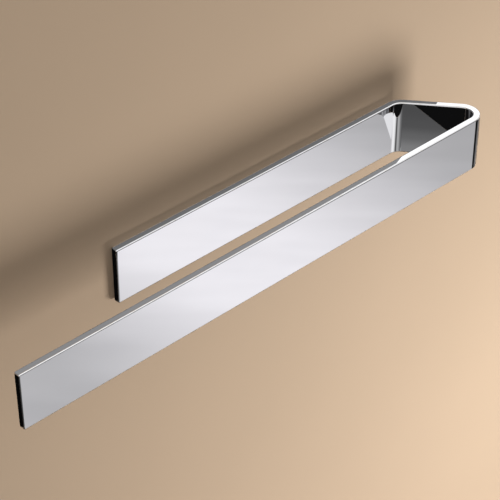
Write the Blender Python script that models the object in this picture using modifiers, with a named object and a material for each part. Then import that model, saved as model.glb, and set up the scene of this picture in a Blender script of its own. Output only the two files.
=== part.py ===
"""Adhesive towel bar: a chromed flat bar bent into an open loop that stands off a wall.

The back of the rear leg carries two milled pockets. Each pocket slips over a steel plate that is
bonded to the wall with a double-sided adhesive strip, and two grub screws in the lower edge of
the bar clamp it onto the plate.

Frame: metres, +Z up, +X along the bar to its closed end, +Y into the wall. The origin is on the
wall, midway between the two plates and at half the height of the bar.
"""

import math

import bmesh
import bpy
from mathutils import Matrix, Vector

MM = 0.001

# Flat bar, 40 x 5 mm stock
BAR_HEIGHT = 40.0 * MM
BAR_THICKNESS = 5.0 * MM
BAR_LENGTH = 400.0 * MM
BAR_DEPTH = 57.5 * MM
REAR_LEG_STRAIGHT = 248.0 * MM
REAR_BEND_ANGLE = math.radians(52.0)
REAR_BEND_RADIUS = 9.0 * MM
NOSE_BEND_RADIUS = 8.0 * MM
EDGE_RADIUS = 1.0 * MM

# Wall plates, one in each pocket, and the strips that bond them
PLATE_SPACING = 130.0 * MM
PLATE_LENGTH = 87.0 * MM
PLATE_HEIGHT = 28.0 * MM
PLATE_THICKNESS = 2.4 * MM
PLATE_CORNER = 3.0 * MM
PLATE_CHAMFER = 0.4 * MM
STRIP_LENGTH = 82.0 * MM
STRIP_HEIGHT = 23.0 * MM
STRIP_THICKNESS = 1.0 * MM
STRIP_CORNER = 2.0 * MM

# Clearances, and the pockets in the back of the rear leg
SEAT_GAP = 0.3 * MM
POCKET_END_GAP = 1.0 * MM
POCKET_LOWER_GAP = 0.8 * MM
POCKET_CORNER = 3.5 * MM

# M3 x 5 grub screws, drawn at the core of the thread, with a 1.5 mm hexagon socket
SCREW_SPACING = 60.0 * MM
SCREW_RADIUS = 1.25 * MM
SCREW_LENGTH = 5.0 * MM
SCREW_TIP_RADIUS = 0.6 * MM
SCREW_CHAMFER = 0.25 * MM
SCREW_HOLE_RADIUS = 1.5 * MM
SOCKET_ACROSS_FLATS = 1.5 * MM
SOCKET_DEPTH = 1.8 * MM

# Facets
BEND_STEP = math.radians(4.3)
CORNER_STEPS = 6
EDGE_STEPS = 4
ROUND_STEPS = 24
CUT_OVERRUN = 2.0 * MM
MERGE = 0.001 * MM

# Depths are measured from the wall into the room, along -Y
PLATE_BACK = STRIP_THICKNESS + SEAT_GAP
PLATE_FRONT = PLATE_BACK + PLATE_THICKNESS
POCKET_FLOOR = PLATE_FRONT + SEAT_GAP
BAR_BACK = 0.5 * MM
SCREW_DEPTH = BAR_BACK + BAR_THICKNESS / 2

# Heights
POCKET_TOP = PLATE_HEIGHT / 2 + SEAT_GAP
POCKET_BOTTOM = -PLATE_HEIGHT / 2 - POCKET_LOWER_GAP
SCREW_TIP = -PLATE_HEIGHT / 2 - SEAT_GAP

# Stands an outline drawn in X and Y up against the wall: X stays, Y becomes Z
STAND_UP = Matrix.Rotation(math.radians(90.0), 4, "X")


def clear_scene():
    for old in list(bpy.data.objects):
        bpy.data.objects.remove(old)


def new_collection(name):
    made = bpy.data.collections.new(name)
    bpy.context.scene.collection.children.link(made)
    return made


def new_material(name, colour, metallic, roughness):
    made = bpy.data.materials.new(name)
    made.use_nodes = True
    shader = made.node_tree.nodes["Principled BSDF"]
    shader.inputs["Base Color"].default_value = (*colour, 1.0)
    shader.inputs["Metallic"].default_value = metallic
    shader.inputs["Roughness"].default_value = roughness
    return made


def link_mesh(name, mesh, collection):
    made = bpy.data.objects.new(name, mesh)
    collection.objects.link(made)
    return made


def evaluated_mesh(drawn):
    """The mesh that an object comes to with its modifiers or its extrusion."""
    bpy.context.view_layer.update()
    evaluated = drawn.evaluated_get(bpy.context.evaluated_depsgraph_get())
    return bpy.data.meshes.new_from_object(evaluated)


def arc(centre, radius, start, end, steps):
    """Points on an arc about centre, from the angle start to the angle end."""
    angles = [start + (end - start) * i / steps for i in range(steps + 1)]
    return [(centre[0] + radius * math.cos(a), centre[1] + radius * math.sin(a)) for a in angles]


def bend(centre, radius, start, end):
    return arc(centre, radius, start, end, round(abs(end - start) / BEND_STEP))


def rounded_rectangle(x, length, low, high, radius):
    """Outline of a rectangle with round corners, centred on x."""
    quarter = math.pi / 2
    left, right = x - length / 2 + radius, x + length / 2 - radius
    centres = (
        (right, high - radius),
        (left, high - radius),
        (left, low + radius),
        (right, low + radius),
    )
    points = []
    for i, centre in enumerate(centres):
        points += arc(centre, radius, i * quarter, (i + 1) * quarter, CORNER_STEPS)
    return points


def bar_outline():
    """Plan of the bent bar: along its outside from the rear end, then back along its inside."""
    thick = BAR_THICKNESS
    rear_centre = (REAR_LEG_STRAIGHT / 2, -BAR_BACK - thick - REAR_BEND_RADIUS)
    nose_y = -BAR_BACK - BAR_DEPTH + thick + NOSE_BEND_RADIUS
    # Both bends touch the slanted outer face, whose outward normal is (sin, cos) of the angle
    normal = (math.sin(REAR_BEND_ANGLE), math.cos(REAR_BEND_ANGLE))
    face = rear_centre[0] * normal[0] + rear_centre[1] * normal[1] + REAR_BEND_RADIUS + thick
    nose_x = (face - NOSE_BEND_RADIUS - thick - nose_y * normal[1]) / normal[0]
    nose_centre = (nose_x, nose_y)
    wall_side, slant, room_side = math.pi / 2, math.pi / 2 - REAR_BEND_ANGLE, -math.pi / 2
    rear_end = -REAR_LEG_STRAIGHT / 2
    front_end = nose_x + NOSE_BEND_RADIUS + thick - BAR_LENGTH
    front_face = -BAR_BACK - BAR_DEPTH
    outline = [(rear_end, -BAR_BACK)]
    outline += bend(rear_centre, REAR_BEND_RADIUS + thick, wall_side, slant)
    outline += bend(nose_centre, NOSE_BEND_RADIUS + thick, slant, room_side)
    outline += [(front_end, front_face), (front_end, front_face + thick)]
    outline += bend(nose_centre, NOSE_BEND_RADIUS, room_side, slant)
    outline += bend(rear_centre, REAR_BEND_RADIUS, slant, wall_side)
    outline += [(rear_end, -BAR_BACK - thick)]
    return outline


def solid_from_outline(name, outline, low, high, turn, collection):
    """A flat outline made solid between the heights low and high, then turned by a matrix."""
    curve = bpy.data.curves.new(name, "CURVE")
    curve.dimensions = "2D"
    curve.fill_mode = "BOTH"
    curve.extrude = (high - low) / 2
    spline = curve.splines.new("POLY")
    spline.points.add(len(outline) - 1)
    for point, (x, y) in zip(spline.points, outline):
        point.co = (x, y, 0.0, 1.0)
    spline.use_cyclic_u = True
    drawn = bpy.data.objects.new(name + "_outline", curve)
    collection.objects.link(drawn)
    drawn.matrix_world = turn @ Matrix.Translation((0.0, 0.0, (low + high) / 2))
    mesh = evaluated_mesh(drawn)
    mesh.name = name
    mesh.transform(drawn.matrix_world)
    bpy.data.objects.remove(drawn)
    weld_caps(mesh)
    return link_mesh(name, mesh, collection)


def weld_caps(mesh):
    """Welds the caps to the sides, makes each cap one face and points all faces outwards."""
    bm = bmesh.new()
    bm.from_mesh(mesh)
    bmesh.ops.remove_doubles(bm, verts=bm.verts, dist=MERGE)
    bmesh.ops.dissolve_limit(bm, angle_limit=math.radians(0.05), verts=bm.verts, edges=bm.edges)
    bmesh.ops.recalc_face_normals(bm, faces=bm.faces)
    bm.to_mesh(mesh)
    bm.free()


def prism(name, sides, radius, low, high, x, y, collection):
    """An upright prism of so many sides, for a hole or a socket."""
    bm = bmesh.new()
    bmesh.ops.create_cone(
        bm,
        cap_ends=True,
        segments=sides,
        radius1=radius,
        radius2=radius,
        depth=high - low,
        matrix=Matrix.Translation((x, y, (low + high) / 2)),
    )
    mesh = bpy.data.meshes.new(name)
    bm.to_mesh(mesh)
    bm.free()
    return link_mesh(name, mesh, collection)


def round_edges(piece, width, steps):
    bevel = piece.modifiers.new("round_edges", "BEVEL")
    bevel.width = width
    bevel.segments = steps
    bevel.limit_method = "ANGLE"
    bevel.angle_limit = math.radians(40.0)


def cut(piece, cutter):
    boolean = piece.modifiers.new("cut_" + cutter.name, "BOOLEAN")
    boolean.operation = "DIFFERENCE"
    boolean.solver = "EXACT"
    boolean.object = cutter
    cutter.hide_render = True
    cutter.display_type = "WIRE"


def finish(piece, material, parent):
    """Gives a piece its material, its parent and smooth round faces."""
    piece.data.materials.clear()
    piece.data.materials.append(material)
    piece.data.shade_smooth()
    piece.data.set_sharp_from_angle(angle=math.radians(30.0))
    piece.parent = parent


def plate_places():
    return (("left", -PLATE_SPACING / 2), ("right", PLATE_SPACING / 2))


def screw_places():
    """Two screws under each plate, counted from the free end of the rear leg."""
    return [x + half * SCREW_SPACING for _, x in plate_places() for half in (-0.5, 0.5)]


def make_towel_bar(collection, cutters):
    bar = solid_from_outline(
        "towel_bar", bar_outline(), -BAR_HEIGHT / 2, BAR_HEIGHT / 2, Matrix.Identity(4), collection
    )
    round_edges(bar, EDGE_RADIUS, EDGE_STEPS)
    for side, x in plate_places():
        mouth = rounded_rectangle(
            x, PLATE_LENGTH + 2 * POCKET_END_GAP, POCKET_BOTTOM, POCKET_TOP, POCKET_CORNER
        )
        pocket = solid_from_outline(
            "pocket_" + side, mouth, BAR_BACK - CUT_OVERRUN, POCKET_FLOOR, STAND_UP, cutters
        )
        cut(bar, pocket)
    for number, x in enumerate(screw_places(), start=1):
        below = -BAR_HEIGHT / 2 - CUT_OVERRUN
        hole = prism(
            f"screw_hole_{number}", ROUND_STEPS, SCREW_HOLE_RADIUS, below, SCREW_TIP,
            x, -SCREW_DEPTH, cutters,
        )
        cut(bar, hole)
    return bar


def make_wall_plate(name, x, collection):
    outline = rounded_rectangle(x, PLATE_LENGTH, -PLATE_HEIGHT / 2, PLATE_HEIGHT / 2, PLATE_CORNER)
    plate = solid_from_outline(name, outline, PLATE_BACK, PLATE_FRONT, STAND_UP, collection)
    round_edges(plate, PLATE_CHAMFER, 1)
    return plate


def make_adhesive_strip(name, x, collection):
    outline = rounded_rectangle(x, STRIP_LENGTH, -STRIP_HEIGHT / 2, STRIP_HEIGHT / 2, STRIP_CORNER)
    return solid_from_outline(name, outline, 0.0, STRIP_THICKNESS, STAND_UP, collection)


def make_grub_screw_mesh(collection, cutters):
    """A grub screw with its tip at the local origin and its socket at the lower end."""
    profile = (
        (0.0, 0.0),
        (SCREW_TIP_RADIUS, 0.0),
        (SCREW_RADIUS, SCREW_TIP_RADIUS - SCREW_RADIUS),
        (SCREW_RADIUS, SCREW_CHAMFER - SCREW_LENGTH),
        (SCREW_RADIUS - SCREW_CHAMFER, -SCREW_LENGTH),
        (0.0, -SCREW_LENGTH),
    )
    bm = bmesh.new()
    verts = [bm.verts.new((radius, 0.0, z)) for radius, z in profile]
    for first, second in zip(verts, verts[1:]):
        bm.edges.new((first, second))
    outline = bpy.data.meshes.new("grub_screw_profile")
    bm.to_mesh(outline)
    bm.free()
    turned = link_mesh("grub_screw_turned", outline, collection)
    lathe = turned.modifiers.new("lathe", "SCREW")
    lathe.steps = ROUND_STEPS
    lathe.render_steps = ROUND_STEPS
    lathe.use_merge_vertices = True
    lathe.merge_threshold = MERGE
    lathe.use_normal_calculate = True
    socket = prism(
        "hexagon_socket", 6, SOCKET_ACROSS_FLATS / math.sqrt(3.0), -SCREW_LENGTH - CUT_OVERRUN,
        SOCKET_DEPTH - SCREW_LENGTH, 0.0, 0.0, cutters,
    )
    cut(turned, socket)
    mesh = evaluated_mesh(turned)
    mesh.name = "grub_screw"
    bpy.data.objects.remove(turned)
    return mesh


def main():
    clear_scene()
    parts = new_collection("adhesive_towel_bar")
    cutters = new_collection("cutters")
    chrome = new_material("polished_chrome", (0.86, 0.86, 0.88), 1.0, 0.05)
    stainless = new_material("brushed_stainless", (0.62, 0.62, 0.63), 1.0, 0.35)
    foam = new_material("adhesive_foam", (0.16, 0.16, 0.17), 0.0, 0.8)
    screw_steel = new_material("screw_steel", (0.45, 0.45, 0.47), 1.0, 0.3)

    on_wall = link_mesh("on_wall", None, parts)
    on_bar = link_mesh("on_bar", None, parts)
    on_bar.parent = on_wall

    finish(make_towel_bar(parts, cutters), chrome, on_bar)
    for side, x in plate_places():
        finish(make_wall_plate("wall_plate_" + side, x, parts), stainless, on_wall)
        finish(make_adhesive_strip("adhesive_strip_" + side, x, parts), foam, on_wall)

    screw_mesh = make_grub_screw_mesh(parts, cutters)
    for number, x in enumerate(screw_places(), start=1):
        screw = link_mesh(f"grub_screw_{number}", screw_mesh, parts)
        screw.location = Vector((x, -SCREW_DEPTH, SCREW_TIP))
        finish(screw, screw_steel, on_bar)


main()
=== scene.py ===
"""Looks of the adhesive towel bar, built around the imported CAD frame.

The bent bar and the four grub screws get fine meshes of their own. The wall plates and adhesive
strips keep their CAD solids and get procedural materials. The wall, floor, soft boxes and cards
are the studio around the part.

Units are metres: +X along the bar to its closed end, +Y into the wall, +Z up.
"""

import math

import bmesh
import bpy
from mathutils import Euler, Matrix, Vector


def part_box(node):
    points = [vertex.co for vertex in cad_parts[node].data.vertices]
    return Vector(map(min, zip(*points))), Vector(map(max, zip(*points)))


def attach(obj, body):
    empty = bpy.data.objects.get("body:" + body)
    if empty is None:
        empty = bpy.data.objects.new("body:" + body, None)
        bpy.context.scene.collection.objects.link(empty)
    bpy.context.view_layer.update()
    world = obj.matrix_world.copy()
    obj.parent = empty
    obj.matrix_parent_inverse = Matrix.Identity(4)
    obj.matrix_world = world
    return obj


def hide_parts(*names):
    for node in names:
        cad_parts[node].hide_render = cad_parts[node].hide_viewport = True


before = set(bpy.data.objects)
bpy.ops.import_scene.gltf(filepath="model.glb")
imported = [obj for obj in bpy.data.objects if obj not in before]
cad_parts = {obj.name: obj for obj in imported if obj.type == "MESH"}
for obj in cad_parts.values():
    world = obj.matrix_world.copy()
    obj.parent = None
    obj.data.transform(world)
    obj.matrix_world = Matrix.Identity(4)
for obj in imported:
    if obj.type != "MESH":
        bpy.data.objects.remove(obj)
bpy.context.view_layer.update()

MM = 0.001
MICRON = 1e-6

# Camera: the photograph's viewpoint, solved on the bar's straight edges and corners
CAMERA_PLACE = (-0.63924, -0.6567, 0.61301)
CAMERA_TURN = (math.radians(54.374), 0.0, math.radians(-43.92))
CAMERA_LENS = 121.61
CAMERA_SENSOR = 36.0

# Studio: the wall's depth, the floor's height, their reach and their paint
WALL = 0.3 * MM
FLOOR = -0.6
STAGE_HALF_WIDTH = 4.0
STAGE_TOP = 3.0
STAGE_FRONT = -6.0
WALL_COLOUR = (0.49, 0.37, 0.265)
FLOOR_COLOUR = (0.84, 0.83, 0.81)

# Opening in the wall behind the rear leg
OPENING_LEFT_INSET = 0.5 * MM
OPENING_RIGHT_REACH = 10 * MM
OPENING_HALF_HEIGHT = 19.5 * MM

# Light: the world as a light and as it is seen, and one soft lamp from below
WORLD_COLOUR = (1.0, 0.99, 0.975, 1.0)
WORLD_LIGHT = 0.45
WORLD_SEEN = 0.85
KEY_PLACE = (0.46, -0.64, -0.41)
KEY_AIM = (0.12, 0.0, -0.1)
KEY_SIZE = 0.4
KEY_POWER = 7.2

# Cards on the wall: their depth, and where those above and below the bar begin
WALL_CARD = 0.15 * MM
CARDS_ABOVE = 0.021
CARDS_BELOW = -0.0215

# The soft box that the bar's faces mirror: its cloudy bands, in waves per metre, and its tint
BAND_ACROSS = (0.69 * 17.0, -0.72 * 17.0, 0.0)
BAND_ALONG = (0.72 * 4.0, 0.69 * 4.0, 0.0)
BAND_STRENGTHS = (0.95, 1.05)
NEUTRAL = (0.0, 0.0, 0.0)
VIOLET = (0.012, -0.008, 0.022)

# Sides on which a plate and its strip sit
SIDES = ("left", "right")

# Bar, as in the CAD; its height, depth and length come from the frame
BAR_THICKNESS = 5.0 * MM
REAR_LEG_STRAIGHT = 248.0 * MM
REAR_BEND_ANGLE = math.radians(52.0)
REAR_BEND_RADIUS = 9.0 * MM
NOSE_BEND_RADIUS = 8.0 * MM
SLANT = math.pi / 2 - REAR_BEND_ANGLE
BEND_STEP = math.radians(1.0)

# Edges of the bar: corners over EDGE_ANGLE are rounded, and corners that are still over
# BAR_SHARP_ANGLE are shaded sharp. The rim is what lies under RIM_SHARE of the radius from both
# faces beside an edge.
EDGE_RADIUS = 1.0 * MM
EDGE_STEPS = 8
EDGE_ANGLE = math.radians(40.0)
BAR_SHARP_ANGLE = math.radians(30.0)
RIM_SHARE = 0.9

# Pockets behind the plates, and the screw holes
POCKET_END_GAP = 1.0 * MM
POCKET_LOWER_GAP = 0.8 * MM
SEAT_GAP = 0.3 * MM
POCKET_CORNER = 3.5 * MM
POCKET_CORNER_STEPS = 12
POCKET_CUT = 6 * MM
HOLE_RADIUS = 1.5 * MM
HOLE_SINK = 0.25 * MM
HOLE_OVERRUN = 2 * MM
ROUND_STEPS = 48

# M3 grub screw with its thread
SCREW_NUMBERS = (1, 2, 3, 4)
THREAD_PITCH = 0.5 * MM
THREAD_RADIUS = 1.45 * MM
THREAD_CORE = 1.2 * MM
THREAD_ROWS = 10
THREAD_STEEPNESS = 1.25
THREAD_ROOT = 0.06
SCREW_TIP_RADIUS = 0.6 * MM
SCREW_CHAMFER = 0.25 * MM
SCREW_SHARP_ANGLE = math.radians(35.0)
SOCKET_ACROSS_FLATS = 1.5 * MM
SOCKET_DEPTH = 1.8 * MM
SOCKET_OVERRUN = 1 * MM

# Colours of the metals and the foam, from dark to light, and where they are worn
CHROME_SHADES = ((0.84, 0.84, 0.865), (0.86, 0.86, 0.88), (0.875, 0.87, 0.885))
CHROME_WORN = (0.74, 0.71, 0.66, 1.0)
SHEET_SHADES = ((0.52, 0.52, 0.53), (0.62, 0.62, 0.63), (0.69, 0.69, 0.70))
SHEET_WORN = (0.78, 0.78, 0.78, 1.0)
FOAM_SHADES = ((0.11, 0.11, 0.12), (0.16, 0.16, 0.17), (0.21, 0.21, 0.215))
FOAM_CLOUDED = (0.19, 0.19, 0.195, 1.0)
FOAM_WORN = (0.3, 0.3, 0.3, 1.0)
STEEL_SHADES = ((0.36, 0.36, 0.38), (0.45, 0.45, 0.47), (0.52, 0.52, 0.54))
STEEL_WORN = (0.66, 0.66, 0.67, 1.0)


def link(name, mesh):
    """Puts a mesh into the scene as an object."""
    made = bpy.data.objects.new(name, mesh)
    bpy.context.scene.collection.objects.link(made)
    return made


def mesh_of(bm, name):
    """Turns an edited mesh into a mesh of the file and frees it."""
    mesh = bpy.data.meshes.new(name)
    bm.to_mesh(mesh)
    bm.free()
    return mesh


def arc(centre, radius, start, end, steps):
    """Points on an arc about the centre, from the angle start to the angle end."""
    angles = [start + (end - start) * i / steps for i in range(steps + 1)]
    return [(centre[0] + radius * math.cos(a), centre[1] + radius * math.sin(a)) for a in angles]


def bend(centre, radius, start, end):
    """An arc of the bar's plan, in steps of BEND_STEP."""
    return arc(centre, radius, start, end, round(abs(end - start) / BEND_STEP))


def bend_centres(low, high):
    """Plan centres of the rear bend and of the nose, between the corners of the bar's CAD box."""
    thick = BAR_THICKNESS
    rear = (REAR_LEG_STRAIGHT / 2, high.y - thick - REAR_BEND_RADIUS)
    nose = (high.x - thick - NOSE_BEND_RADIUS, low.y + thick + NOSE_BEND_RADIUS)
    return rear, nose


def bar_outline(low, high):
    """Plan of the bent bar between the CAD box's corners, along its outside and back inside."""
    thick = BAR_THICKNESS
    rear_centre, nose_centre = bend_centres(low, high)
    wall_side, room_side = math.pi / 2, -math.pi / 2
    outline = [(-REAR_LEG_STRAIGHT / 2, high.y)]
    outline += bend(rear_centre, REAR_BEND_RADIUS + thick, wall_side, SLANT)
    outline += bend(nose_centre, NOSE_BEND_RADIUS + thick, SLANT, room_side)
    outline += [(low.x, low.y), (low.x, low.y + thick)]
    outline += bend(nose_centre, NOSE_BEND_RADIUS, room_side, SLANT)
    outline += bend(rear_centre, REAR_BEND_RADIUS, SLANT, wall_side)
    outline += [(-REAR_LEG_STRAIGHT / 2, high.y - thick)]
    return outline


def rounded_rectangle(low_x, high_x, low_z, high_z, radius):
    """Outline of a rectangle with rounded corners, counterclockwise from its right side."""
    centres = (
        (high_x - radius, high_z - radius),
        (low_x + radius, high_z - radius),
        (low_x + radius, low_z + radius),
        (high_x - radius, low_z + radius),
    )
    quarter = math.pi / 2
    points = []
    for i, centre in enumerate(centres):
        points += arc(centre, radius, i * quarter, (i + 1) * quarter, POCKET_CORNER_STEPS)
    return points


def extrude(outline, shift, name):
    """A closed solid: the outline, a list of points in space, and its copy moved by shift."""
    bm = bmesh.new()
    face = bm.faces.new([bm.verts.new(p) for p in outline])
    moved = bmesh.ops.extrude_face_region(bm, geom=[face])
    new_verts = [v for v in moved["geom"] if isinstance(v, bmesh.types.BMVert)]
    bmesh.ops.translate(bm, verts=new_verts, vec=shift)
    bmesh.ops.recalc_face_normals(bm, faces=bm.faces)
    return mesh_of(bm, name)


def evaluated(piece):
    """The piece's mesh with its modifiers applied."""
    bpy.context.view_layer.update()
    solid = piece.evaluated_get(bpy.context.evaluated_depsgraph_get())
    return bpy.data.meshes.new_from_object(solid)


def carve(piece, cutters):
    """Cuts the cutters out of the piece and removes them."""
    for cutter in cutters:
        boolean = piece.modifiers.new(cutter.name, "BOOLEAN")
        boolean.operation = "DIFFERENCE"
        boolean.solver = "EXACT"
        boolean.object = cutter
    carved = evaluated(piece)
    piece.modifiers.clear()
    piece.data = carved
    for cutter in cutters:
        bpy.data.objects.remove(cutter)


def round_bar_edges(piece):
    """Rounds the bar's long edges and the edges of its two ends."""
    bevel = piece.modifiers.new("edges", "BEVEL")
    bevel.width = EDGE_RADIUS
    bevel.segments = EDGE_STEPS
    bevel.limit_method = "ANGLE"
    bevel.angle_limit = EDGE_ANGLE
    rounded = evaluated(piece)
    piece.modifiers.clear()
    piece.data = rounded


def smooth_true(piece, sharp_angle):
    """Smooth shading that keeps flat faces flat: each normal follows the largest face there."""
    piece.data.shade_smooth()
    piece.data.set_sharp_from_angle(angle=sharp_angle)
    weighted = piece.modifiers.new("flat_faces_stay_flat", "WEIGHTED_NORMAL")
    weighted.mode = "FACE_AREA"
    weighted.weight = 100
    weighted.keep_sharp = True


def pocket_cutter(side):
    """The pocket round a wall plate, open towards the wall."""
    plate_low, plate_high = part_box("wall_plate_" + side)
    floor = plate_low.y - SEAT_GAP
    outline = rounded_rectangle(
        plate_low.x - POCKET_END_GAP,
        plate_high.x + POCKET_END_GAP,
        plate_low.z - POCKET_LOWER_GAP,
        plate_high.z + SEAT_GAP,
        POCKET_CORNER,
    )
    name = "pocket_" + side
    points = [(x, floor, z) for x, z in outline]
    return link(name, extrude(points, Vector((0.0, POCKET_CUT, 0.0)), name))


def hole_cutter(number, bar_low):
    """The screw's bore with a small countersink at the bar's lower edge."""
    screw_low, screw_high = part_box(f"grub_screw_{number}")
    axis = (screw_low.x + screw_high.x) / 2, (screw_low.y + screw_high.y) / 2
    mouth = bar_low.z
    name = f"hole_{number}"
    rings = (
        (mouth - HOLE_OVERRUN, HOLE_RADIUS + HOLE_SINK + HOLE_OVERRUN),
        (mouth + HOLE_SINK, HOLE_RADIUS),
        (screw_high.z, HOLE_RADIUS),
    )
    return link(name, lathe(rings, axis, ROUND_STEPS, name))


def skin(bm, loops):
    """Closes a solid over loops of vertices, from the lowest loop to the highest."""
    for lower, upper in zip(loops, loops[1:]):
        for i in range(len(lower)):
            j = (i + 1) % len(lower)
            bm.faces.new((lower[i], lower[j], upper[j], upper[i]))
    bm.faces.new(loops[0][::-1])
    bm.faces.new(loops[-1])


def lathe(rings, centre, steps, name):
    """A closed turned solid from (height, radius) rings, from bottom to top."""
    bm = bmesh.new()
    loops = []
    for z, radius in rings:
        circle = arc(centre, radius, 0.0, 2 * math.pi * (steps - 1) / steps, steps - 1)
        loops.append([bm.verts.new((x, y, z)) for x, y in circle])
    skin(bm, loops)
    return mesh_of(bm, name)


def make_bar():
    """The bent bar with rounded edges, its two pockets and its four screw holes."""
    low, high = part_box("towel_bar")
    outline = [(x, y, low.z) for x, y in bar_outline(low, high)]
    bar = link("bar", extrude(outline, Vector((0.0, 0.0, high.z - low.z)), "bar"))
    round_bar_edges(bar)
    cutters = [pocket_cutter(side) for side in SIDES]
    cutters += [hole_cutter(number, low) for number in SCREW_NUMBERS]
    carve(bar, cutters)
    smooth_true(bar, BAR_SHARP_ANGLE)
    return bar


def thread_radius(z, angle, low, high):
    """Radius of the screw's surface: a V thread between its tip cone and its end chamfer."""
    phase = (z / THREAD_PITCH - angle / (2 * math.pi)) % 1.0
    flank = 1.0 - abs(2.0 * phase - 1.0)
    crest = min(1.0, max(0.0, THREAD_STEEPNESS * flank - THREAD_ROOT))
    radius = THREAD_CORE + (THREAD_RADIUS - THREAD_CORE) * crest
    tip = SCREW_TIP_RADIUS + (high - z)
    end = THREAD_RADIUS - SCREW_CHAMFER + (z - low)
    return min(radius, tip, end)


def make_screw_mesh(low, high):
    """A grub screw about the local Z axis, from height low to high, socket downwards."""
    rows = round((high - low) / THREAD_PITCH * THREAD_ROWS)
    bm = bmesh.new()
    loops = []
    for row in range(rows + 1):
        z = low + (high - low) * row / rows
        loop = []
        for i in range(ROUND_STEPS):
            angle = 2 * math.pi * i / ROUND_STEPS
            radius = thread_radius(z, angle, low, high)
            loop.append(bm.verts.new((radius * math.cos(angle), radius * math.sin(angle), z)))
        loops.append(loop)
    skin(bm, loops)
    blank = link("screw_blank", mesh_of(bm, "screw_blank"))
    socket_radius = SOCKET_ACROSS_FLATS / math.sqrt(3.0)
    rings = ((low - SOCKET_OVERRUN, socket_radius), (low + SOCKET_DEPTH, socket_radius))
    carve(blank, [link("socket", lathe(rings, (0.0, 0.0), 6, "socket"))])
    mesh = blank.data
    bpy.data.objects.remove(blank)
    mesh.name = "grub_screw_threaded"
    return mesh


def make_screws():
    """The four grub screws, each with its origin at the tip, at the CAD screws' places."""
    low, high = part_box("grub_screw_1")
    length = high.z - low.z
    mesh = make_screw_mesh(-length, 0.0)
    screws = []
    for number in SCREW_NUMBERS:
        low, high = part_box(f"grub_screw_{number}")
        screw = link(f"threaded_screw_{number}", mesh if number == 1 else mesh.copy())
        screw.location = ((low.x + high.x) / 2, (low.y + high.y) / 2, high.z)
        smooth_true(screw, SCREW_SHARP_ANGLE)
        screws.append(screw)
    return screws


def place_along_bar(point, low, high):
    """Where a point of the bar lies: metres along the bar, and metres off its middle surface."""
    thick = BAR_THICKNESS
    rear_centre, nose_centre = (Vector(centre) for centre in bend_centres(low, high))
    rear_middle, nose_middle = REAR_BEND_RADIUS + thick / 2, NOSE_BEND_RADIUS + thick / 2
    outward = Vector((math.cos(SLANT), math.sin(SLANT)))
    onward = Vector((math.sin(SLANT), -math.cos(SLANT)))
    bend_start = REAR_LEG_STRAIGHT
    slant_start = bend_start + REAR_BEND_ANGLE * rear_middle
    nose_start = slant_start + (nose_centre - rear_centre).dot(onward)
    front_start = nose_start + (math.pi / 2 + SLANT) * nose_middle

    at = Vector((point.x, point.y))
    off_rear, off_nose = at - rear_centre, at - nose_centre
    if off_rear.x <= 0.0 < off_rear.y:
        return REAR_LEG_STRAIGHT / 2 + at.x, at.y - (high.y - thick / 2)
    if off_nose.x <= 0.0 and off_nose.y < 0.0:
        return front_start - off_nose.x, (low.y + thick / 2) - at.y
    if off_rear.dot(onward) <= 0.0:
        turned = math.pi / 2 - math.atan2(off_rear.y, off_rear.x)
        return bend_start + turned * rear_middle, off_rear.length - rear_middle
    if off_nose.dot(onward) <= 0.0:
        return nose_start + off_nose.dot(onward), off_nose.dot(outward) - nose_middle
    turned = SLANT - math.atan2(off_nose.y, off_nose.x)
    return nose_start + turned * nose_middle, off_nose.length - nose_middle


def mark_bar(piece):
    """Writes the bar's own coordinates into its mesh for the material.

    "run" holds metres along the bar, off its middle surface and up; "rim" is 1 on the rounded
    edges and 0 on the flat and bent faces.
    """
    low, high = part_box("towel_bar")
    total = place_along_bar(Vector(low), low, high)[0]
    mesh = piece.data
    runs, rims = [], []
    for vertex in mesh.vertices:
        along, across = place_along_bar(vertex.co, low, high)
        runs += (along, across, vertex.co.z)
        to_side = BAR_THICKNESS / 2 - abs(across)
        to_edge = high.z - abs(vertex.co.z)
        to_end = min(along, total - along)
        second_nearest = sorted((to_side, to_edge, to_end))[1]
        rims.append(1.0 if second_nearest < RIM_SHARE * EDGE_RADIUS else 0.0)
    mesh.attributes.new("run", "FLOAT_VECTOR", "POINT").data.foreach_set("vector", runs)
    mesh.attributes.new("rim", "FLOAT", "POINT").data.foreach_set("value", rims)


def new_material(name, metallic=0.0):
    """A material, its node tree and its shader."""
    made = bpy.data.materials.new(name)
    made.use_nodes = True
    shader = made.node_tree.nodes["Principled BSDF"]
    shader.inputs["Metallic"].default_value = metallic
    return made, made.node_tree, shader


def add(tree, kind, inputs, **settings):
    """Adds a node. Its inputs are set to values, or linked to the outputs given for them."""
    made = tree.nodes.new(kind)
    for name, value in settings.items():
        setattr(made, name, value)
    for name, value in inputs.items():
        if isinstance(value, bpy.types.NodeSocket):
            tree.links.new(value, made.inputs[name])
        else:
            made.inputs[name].default_value = value
    return made


def feed(tree, output, node, socket):
    """Links an output to a node's input, given by name or number."""
    tree.links.new(output, node.inputs[socket])


def own_place(tree):
    """The shaded point in the object's own coordinates."""
    return tree.nodes.new("ShaderNodeTexCoord").outputs["Object"]


def stretch(tree, vector, factors):
    """The vector, multiplied by a factor along each axis."""
    made = add(tree, "ShaderNodeVectorMath", {0: vector, 1: factors}, operation="MULTIPLY")
    return made.outputs["Vector"]


def dot(tree, first, second):
    """The dot product of two vectors."""
    made = add(tree, "ShaderNodeVectorMath", {0: first, 1: second}, operation="DOT_PRODUCT")
    return made.outputs["Value"]


def noise(tree, vector, scale, detail=2.0):
    """Cloudy noise of about scale waves per metre."""
    inputs = {"Vector": vector, "Scale": scale, "Detail": detail}
    return add(tree, "ShaderNodeTexNoise", inputs).outputs["Fac"]


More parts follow.
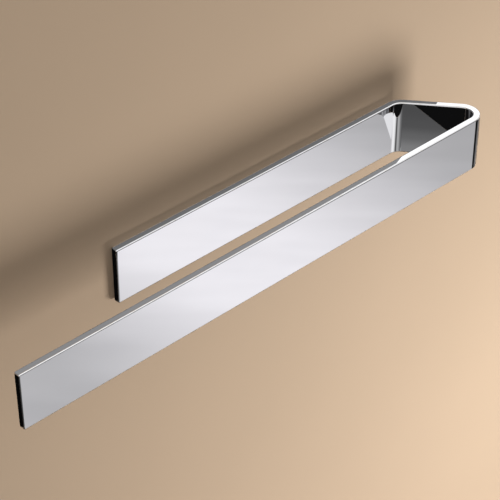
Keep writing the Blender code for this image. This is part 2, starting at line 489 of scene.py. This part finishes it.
def spread(tree, value, start, end, low=0.0, high=1.0):
    """The value's range from start to end, spread from low to high."""
    inputs = {"Value": value, "From Min": start, "From Max": end, "To Min": low, "To Max": high}
    return add(tree, "ShaderNodeMapRange", inputs).outputs["Result"]


def combine(tree, operation, first, second):
    """Two values put together by one step of arithmetic."""
    return add(tree, "ShaderNodeMath", {0: first, 1: second}, operation=operation).outputs["Value"]


def tint(tree, value, *colours):
    """A colour ramp over 0 to 1, through evenly spaced colours."""
    ramp = add(tree, "ShaderNodeValToRGB", {"Fac": value})
    elements = ramp.color_ramp.elements
    for i, colour in enumerate(colours):
        share = i / (len(colours) - 1)
        element = elements[i] if i in (0, 1) else elements.new(share)
        element.position = share
        element.color = (*colour, 1.0)
    return ramp.outputs["Color"]


def mix_colour(tree, share, first, second):
    """The first colour, with a share of the second."""
    made = add(tree, "ShaderNodeMix", {0: share, 6: first, 7: second}, data_type="RGBA")
    return made.outputs[2]


def bumped(tree, shader, *layers, normal=None):
    """Stacks bump layers of (height, depth in metres) on the shader's normal."""
    for height, depth in layers:
        inputs = {"Height": height, "Distance": depth, "Strength": 1.0}
        if normal:
            inputs["Normal"] = normal
        normal = add(tree, "ShaderNodeBump", inputs).outputs["Normal"]
    feed(tree, normal, shader, "Normal")


def worn_edges(tree, radius):
    """1 along sharp edges and 0 away from them, and the normal rounded over the same radius."""
    rounded = add(tree, "ShaderNodeBevel", {"Radius": radius}, samples=8).outputs["Normal"]
    true = tree.nodes.new("ShaderNodeNewGeometry").outputs["True Normal"]
    return spread(tree, dot(tree, rounded, true), 0.995, 0.85), rounded


def chrome_material():
    """Chrome plate: smudges, faint polishing lines, and thin, duller plate along the edges."""
    made, tree, shader = new_material("polished_chrome", metallic=1.0)
    run = add(tree, "ShaderNodeAttribute", {}, attribute_name="run").outputs["Vector"]
    rim = add(tree, "ShaderNodeAttribute", {}, attribute_name="rim").outputs["Fac"]
    smudge = noise(tree, run, 26.0, 5.0)
    speckle = noise(tree, run, 900.0, 3.0)
    lines = noise(tree, stretch(tree, run, (35.0, 6000.0, 6000.0)), 1.0, 3.0)
    spots = spread(tree, noise(tree, run, 210.0, 4.0), 0.48, 0.66)
    wear = combine(tree, "MULTIPLY", rim, spots)
    plate = tint(tree, smudge, *CHROME_SHADES)
    worn_share = combine(tree, "MULTIPLY", wear, 0.5)
    feed(tree, mix_colour(tree, worn_share, plate, CHROME_WORN), shader, "Base Color")
    film = spread(tree, smudge, 0.4, 0.72, 0.01, 0.028)
    scratched = spread(tree, lines, 0.5, 0.8, 0.0, 0.015)
    rough = combine(tree, "ADD", film, scratched)
    rough = combine(tree, "ADD", rough, combine(tree, "MULTIPLY", wear, 0.1))
    feed(tree, rough, shader, "Roughness")
    long_waves = noise(tree, run, 24.0, 0.0)
    short_waves = noise(tree, run, 130.0, 0.0)
    bumped(
        tree,
        shader,
        (long_waves, 14.0 * MICRON),
        (short_waves, 1.0 * MICRON),
        (speckle, 0.06 * MICRON),
        (lines, 0.01 * MICRON),
    )
    return made


def brushed_material():
    """Brushed stainless sheet: streaks along X, dull patches, edges rubbed bright."""
    made, tree, shader = new_material("brushed_stainless", metallic=1.0)
    place = own_place(tree)
    streaks = noise(tree, stretch(tree, place, (25.0, 5000.0, 5000.0)), 1.0, 5.0)
    patches = noise(tree, place, 60.0, 4.0)
    wear, rounded = worn_edges(tree, 0.4 * MM)
    sheet = tint(tree, streaks, *SHEET_SHADES)
    feed(tree, mix_colour(tree, wear, sheet, SHEET_WORN), shader, "Base Color")
    streaked = spread(tree, streaks, 0.3, 0.7, 0.24, 0.36)
    dulled = spread(tree, patches, 0.4, 0.7, 0.0, 0.1)
    rough = combine(tree, "ADD", streaked, dulled)
    rough = combine(tree, "SUBTRACT", rough, combine(tree, "MULTIPLY", wear, 0.1))
    feed(tree, rough, shader, "Roughness")
    bumped(tree, shader, (streaks, 2.0 * MICRON), (patches, 10.0 * MICRON), normal=rounded)
    return made


def foam_material():
    """Dark closed-cell foam of the adhesive strips, its cells cut open at the sides."""
    made, tree, shader = new_material("adhesive_foam")
    place = own_place(tree)
    cells = add(tree, "ShaderNodeTexVoronoi", {"Vector": place, "Scale": 2600.0})
    cell = cells.outputs["Distance"]
    cloud = noise(tree, place, 120.0, 4.0)
    wear = worn_edges(tree, 0.25 * MM)[0]
    foam = tint(tree, spread(tree, cell, 0.0, 0.8), *FOAM_SHADES)
    cloud_share = spread(tree, cloud, 0.4, 0.7, 0.0, 0.4)
    clouded = mix_colour(tree, cloud_share, foam, FOAM_CLOUDED)
    worn_share = combine(tree, "MULTIPLY", wear, 0.5)
    feed(tree, mix_colour(tree, worn_share, clouded, FOAM_WORN), shader, "Base Color")
    feed(tree, spread(tree, cloud, 0.3, 0.7, 0.75, 0.95), shader, "Roughness")
    bumped(tree, shader, (cell, 60.0 * MICRON), (cloud, 40.0 * MICRON))
    return made


def screw_material():
    """Satin steel of the grub screws, rubbed bright on the thread's crests."""
    made, tree, shader = new_material("screw_steel", metallic=1.0)
    place = own_place(tree)
    grain = noise(tree, place, 2500.0, 4.0)
    patches = noise(tree, place, 500.0, 3.0)
    flattened = stretch(tree, place, (1.0, 1.0, 0.0))
    off_axis = add(tree, "ShaderNodeVectorMath", {0: flattened}, operation="LENGTH")
    crest = spread(tree, off_axis.outputs["Value"], 0.9 * THREAD_RADIUS, THREAD_RADIUS)
    wear = combine(tree, "MULTIPLY", crest, spread(tree, patches, 0.35, 0.6))
    steel = tint(tree, grain, *STEEL_SHADES)
    feed(tree, mix_colour(tree, wear, steel, STEEL_WORN), shader, "Base Color")
    rough = spread(tree, patches, 0.3, 0.7, 0.26, 0.42)
    rough = combine(tree, "SUBTRACT", rough, combine(tree, "MULTIPLY", wear, 0.12))
    feed(tree, rough, shader, "Roughness")
    bumped(tree, shader, (grain, 4.0 * MICRON))
    return made


def give(piece, material):
    """Makes the material the piece's only one."""
    piece.data.materials.clear()
    piece.data.materials.append(material)


def make_camera():
    """The camera at the photograph's viewpoint."""
    data = bpy.data.cameras.new("camera")
    data.lens = CAMERA_LENS
    data.sensor_width = CAMERA_SENSOR
    camera = bpy.data.objects.new("camera", data)
    camera.location = CAMERA_PLACE
    camera.rotation_euler = Euler(CAMERA_TURN, "XYZ")
    bpy.context.scene.collection.objects.link(camera)
    bpy.context.scene.camera = camera


def soft_bands(tree, place):
    """Strength of a soft box with faint cloudy bands, level in the photograph's view."""
    across, along = dot(tree, place, BAND_ACROSS), dot(tree, place, BAND_ALONG)
    banded = add(tree, "ShaderNodeCombineXYZ", {"X": across, "Y": along})
    return spread(tree, noise(tree, banded.outputs["Vector"], 1.0), 0.3, 0.7, *BAND_STRENGTHS)


def glow_colour(strength, tints):
    """A glow's colour at a strength; each part is tinted more where the glow is bright."""
    return (*(strength * (1.0 + part * strength) for part in tints), 1.0)


def emission_material(name, stops, axis, clouded):
    """A glow. More than one (place, strength) stop shades it along an axis.

    A clouded glow has soft bands and turns faintly violet where it is bright.
    """
    tints = VIOLET if clouded else NEUTRAL
    made = bpy.data.materials.new(name)
    made.use_nodes = True
    tree = made.node_tree
    tree.nodes.clear()
    glow = tree.nodes.new("ShaderNodeEmission")
    out = tree.nodes.new("ShaderNodeOutputMaterial")
    feed(tree, glow.outputs["Emission"], out, "Surface")
    if len(stops) == 1:
        glow.inputs["Strength"].default_value = stops[0][1]
        return made
    first, last = stops[0][0], stops[-1][0]
    place = own_place(tree)
    split = add(tree, "ShaderNodeSeparateXYZ", {"Vector": place})
    along = spread(tree, split.outputs[axis], first, last)
    ramp = add(tree, "ShaderNodeValToRGB", {"Fac": along})
    ramp.color_ramp.interpolation = "EASE"
    feed(tree, ramp.outputs["Color"], glow, "Color")
    elements = ramp.color_ramp.elements
    for i, (position, strength) in enumerate(stops):
        share = (position - first) / (last - first)
        element = elements[i] if i in (0, 1) else elements.new(share)
        element.position = share
        element.color = glow_colour(strength, tints)
    if clouded:
        feed(tree, soft_bands(tree, place), glow, "Strength")
    return made


def even(strength):
    """The stops of a glow of one strength."""
    return ((0.0, strength),)


def flat_mesh(name, corners):
    """A mesh of one face."""
    bm = bmesh.new()
    bm.faces.new([bm.verts.new(p) for p in corners])
    return mesh_of(bm, name)


def card(name, corners, stops, axis="X", turn=0.0, clouded=False):
    """A studio card or flag that only shows in reflections."""
    made = link(name, flat_mesh(name, corners))
    made.rotation_euler.z = turn
    give(made, emission_material(name, stops, axis, clouded))
    for ray in ("camera", "diffuse", "transmission", "volume_scatter", "shadow"):
        setattr(made, "visible_" + ray, False)


def floor_card(name, outline, level, stops, axis="X", turn=0.0, clouded=False):
    """A card that lies flat, level millimetres over the floor."""
    card(name, [(x, y, FLOOR + level * MM) for x, y in outline], stops, axis, turn, clouded)


def wall_card(name, outline, stops, axis="Z"):
    """A card that stands just in front of the wall."""
    card(name, [(x, WALL_CARD, z) for x, z in outline], stops, axis)


def rectangle(low_a, high_a, low_b, high_b):
    """Corners of a rectangle in two coordinates, a and b."""
    return [(low_a, low_b), (high_a, low_b), (high_a, high_b), (low_a, high_b)]


def panel(azimuth_from, azimuth_to, low, high, radius):
    """Corners of an upright panel round the part, between two elevations in degrees."""
    corners = []
    for azimuth, elevation in rectangle(azimuth_from, azimuth_to, low, high):
        turn, rise = math.radians(azimuth), math.radians(elevation)
        height = radius * math.tan(rise)
        corners.append((radius * math.cos(turn), radius * math.sin(turn), height))
    return corners


def make_floor_cards():
    """What the bar's upright faces mirror: soft boxes and flags that lie on the floor."""
    # Soft box in the front faces of both legs
    floor_card(
        "card_faces",
        rectangle(0.0, 1.1, -0.76, -0.45),
        level=2,
        stops=((0.2, 0.52), (0.465, 0.955), (0.54, 0.955), (0.92, 0.46)),
        clouded=True,
    )
    # Light and dark bands in the two bends
    floor_card(
        "card_bends",
        rectangle(-0.8, 0.85, -1.2, -0.45),
        level=1,
        stops=(
            (-0.62, 0.10),
            (-0.45, 0.2),
            (-0.28, 0.41),
            (-0.13, 0.43),
            (0.05, 0.085),
            (0.12, 0.085),
            (0.32, 0.72),
            (0.42, 0.95),
        ),
    )
    # Fall of light along the slanted end
    floor_card(
        "card_slant",
        rectangle(0.76, 1.15, -0.3, 0.105),
        level=4,
        stops=((0.80, 0.30), (0.83, 0.225), (0.86, 0.14), (0.89, 0.092), (0.93, 0.08)),
        turn=math.radians(-141.0),
    )
    # Light line along the rounded edges of the left ends, and the dark beside it
    floor_card(
        "card_left_ends",
        [
            (-0.6, -0.6),
            (-0.5, -0.65),
            (-0.35, -0.73),
            (-0.15, -0.82),
            (0.15, -0.82),
            (0.15, -0.72),
            (-0.3, -0.6),
        ],
        level=3,
        stops=((-0.4, 0.85), (-0.2, 0.62), (-0.05, 0.46)),
    )
    floor_card(
        "flag_left_ends",
        [(-1.2, -0.6), (-0.6, -0.6), (-0.6, -0.5), (-0.15, -0.5), (-0.15, 0.0), (-1.2, 0.0)],
        level=2,
        stops=even(0.004),
    )
    # Dark in the nose
    floor_card(
        "flag_nose",
        [(0.87, -0.585), (0.99, -0.676), (1.3, -0.66), (1.3, 0.3), (0.85, 0.3), (0.85, -0.56)],
        level=5,
        stops=((-0.52, 0.002), (-0.4, 0.005), (-0.32, 0.09), (-0.17, 0.16)),
        axis="Y",
    )


def make_wall_cards():
    """What the bar's upper edge, its ends and its rounded edges mirror on the wall."""
    # Grey to the left over the bar and white to the right, with one border between them
    border = [(0.178, 0.044), (0.140, 0.075), (0.08, 0.125)]
    wall_card(
        "flag_top",
        [(-0.4, CARDS_ABOVE), (0.2, CARDS_ABOVE), *border, (-0.4, 0.125)],
        ((CARDS_ABOVE, 0.17), (0.08, 0.285)),
    )
    wall_card(
        "card_top_white",
        [(0.2, CARDS_ABOVE), (0.5, CARDS_ABOVE), (0.5, 0.3), (0.08, 0.3), *border[::-1]],
        even(1.3),
    )
    # Dark under the bar
    wall_card("flag_below", rectangle(-0.2, 0.175, -0.3, CARDS_BELOW), even(0.006))
    wall_card("flag_below_left", rectangle(-0.8, -0.2, -0.45, -0.16), even(0.05))
    # Dark in the end faces of the two legs
    wall_card(
        "flag_front_end",
        [(-0.25, -0.02), (-0.25, -0.06), (-0.45, -0.2), (-0.5, -0.19), (-0.34, -0.02)],
        even(0.002),
    )
    wall_card("flag_rear_end", rectangle(-0.16, -0.1222, -0.05, CARDS_ABOVE), even(0.002))
    # Grey to the right of the bar, round the corner of flag_below
    wall_card(
        "card_nose_side",
        [
            (0.168, CARDS_BELOW),
            (0.175, CARDS_BELOW),
            (0.175, -0.2),
            (0.5, -0.2),
            (0.5, CARDS_ABOVE),
            (0.168, CARDS_ABOVE),
        ],
        even(0.13),
    )


def make_room_cards():
    """The dark horizon to the front right, and the white box over it."""
    card("flag_horizon", panel(-80, -30, -22, 9, 1.45), even(0.02))
    card("card_above", panel(-85, 5, 16, 58, 1.6), even(1.05))


def see_through_back(tree, shader):
    """Makes a surface clear when seen from its back, so that it hides nothing from behind."""
    back = tree.nodes.new("ShaderNodeNewGeometry")
    clear = tree.nodes.new("ShaderNodeBsdfTransparent")
    mix = tree.nodes.new("ShaderNodeMixShader")
    out = tree.nodes["Material Output"]
    feed(tree, back.outputs["Backfacing"], mix, "Fac")
    feed(tree, shader.outputs["BSDF"], mix, 1)
    feed(tree, clear.outputs["BSDF"], mix, 2)
    feed(tree, mix.outputs["Shader"], out, "Surface")


def paint_material(name, colour):
    """Matt studio paint with faint clouds and a rolled texture."""
    made, tree, shader = new_material(name)
    place = own_place(tree)
    clouds = noise(tree, place, 6.0, 3.0)
    texture = noise(tree, place, 350.0, 2.0)
    shades = [tuple(part * shade for part in colour) for shade in (0.97, 1.0, 1.03)]
    feed(tree, tint(tree, clouds, *shades), shader, "Base Color")
    feed(tree, spread(tree, texture, 0.3, 0.7, 0.86, 0.94), shader, "Roughness")
    shader.inputs["Specular IOR Level"].default_value = 0.0
    bumped(tree, shader, (texture, 25.0 * MICRON))
    see_through_back(tree, shader)
    return made


def make_stage():
    """The wall behind the bar, open right behind the rear leg so that light reaches its back.

    A patch that only the camera sees fills the opening. Returns the floor.
    """
    outer = rectangle(-STAGE_HALF_WIDTH, STAGE_HALF_WIDTH, FLOOR, STAGE_TOP)
    inner = rectangle(
        -REAR_LEG_STRAIGHT / 2 + OPENING_LEFT_INSET,
        REAR_LEG_STRAIGHT / 2 + OPENING_RIGHT_REACH,
        -OPENING_HALF_HEIGHT,
        OPENING_HALF_HEIGHT,
    )
    bm = bmesh.new()
    outer_verts = [bm.verts.new((x, WALL, z)) for x, z in outer]
    inner_verts = [bm.verts.new((x, WALL, z)) for x, z in inner]
    for i in range(4):
        j = (i + 1) % 4
        bm.faces.new((outer_verts[i], outer_verts[j], inner_verts[j], inner_verts[i]))
    wall = link("wall", mesh_of(bm, "wall"))

    patch = link("wall_patch", flat_mesh("wall_patch", [(x, WALL, z) for x, z in inner]))
    for ray in ("diffuse", "glossy", "transmission", "shadow"):
        setattr(patch, "visible_" + ray, False)

    ground = rectangle(-STAGE_HALF_WIDTH, STAGE_HALF_WIDTH, STAGE_FRONT, WALL)
    floor = link("floor", flat_mesh("floor", [(x, y, FLOOR) for x, y in ground]))

    paint = paint_material("wall_paint", WALL_COLOUR)
    give(wall, paint)
    give(patch, paint)
    give(floor, paint_material("floor_paint", FLOOR_COLOUR))
    return floor


def make_lamp(name, place, size, power, aim, unlit):
    """A soft lamp that only shows as light; the unlit piece gets none of it."""
    data = bpy.data.lights.new(name, "AREA")
    data.shape = "SQUARE"
    data.size = size
    data.energy = power
    lamp = bpy.data.objects.new(name, data)
    lamp.location = place
    lamp.rotation_euler = (Vector(aim) - Vector(place)).to_track_quat("-Z", "Y").to_euler()
    lamp.visible_camera = False
    lamp.visible_glossy = False
    bpy.context.scene.collection.objects.link(lamp)
    skipped = bpy.data.collections.new(name + "_skips")
    skipped.objects.link(unlit)
    skipped.collection_objects[0].light_linking.link_state = "EXCLUDE"
    lamp.light_linking.receiver_collection = skipped


def make_world():
    """The room: one strength as a light, and another where it is seen or mirrored."""
    world = bpy.data.worlds.new("studio")
    world.use_nodes = True
    bpy.context.scene.world = world
    tree = world.node_tree
    background = tree.nodes["Background"]
    background.inputs["Color"].default_value = WORLD_COLOUR
    rays = tree.nodes.new("ShaderNodeLightPath").outputs
    seen = combine(tree, "MAXIMUM", rays["Is Camera Ray"], rays["Is Glossy Ray"])
    seen = combine(tree, "MAXIMUM", seen, rays["Is Transmission Ray"])
    feed(tree, spread(tree, seen, 0.0, 1.0, WORLD_LIGHT, WORLD_SEEN), background, "Strength")


def main():
    """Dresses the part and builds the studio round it."""
    bar = make_bar()
    mark_bar(bar)
    give(bar, chrome_material())
    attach(bar, "bar")
    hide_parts("towel_bar")

    brushed, foam = brushed_material(), foam_material()
    for side in SIDES:
        give(bpy.data.objects["wall_plate_" + side], brushed)
        give(bpy.data.objects["adhesive_strip_" + side], foam)

    steel = screw_material()
    for number, screw in zip(SCREW_NUMBERS, make_screws()):
        give(screw, steel)
        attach(screw, f"screw_{number}")
        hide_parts(f"grub_screw_{number}")

    make_camera()
    floor = make_stage()
    make_floor_cards()
    make_wall_cards()
    make_room_cards()
    make_world()
    make_lamp("key", KEY_PLACE, KEY_SIZE, KEY_POWER, aim=KEY_AIM, unlit=floor)
    bpy.context.scene.view_settings.view_transform = "Standard"


main()
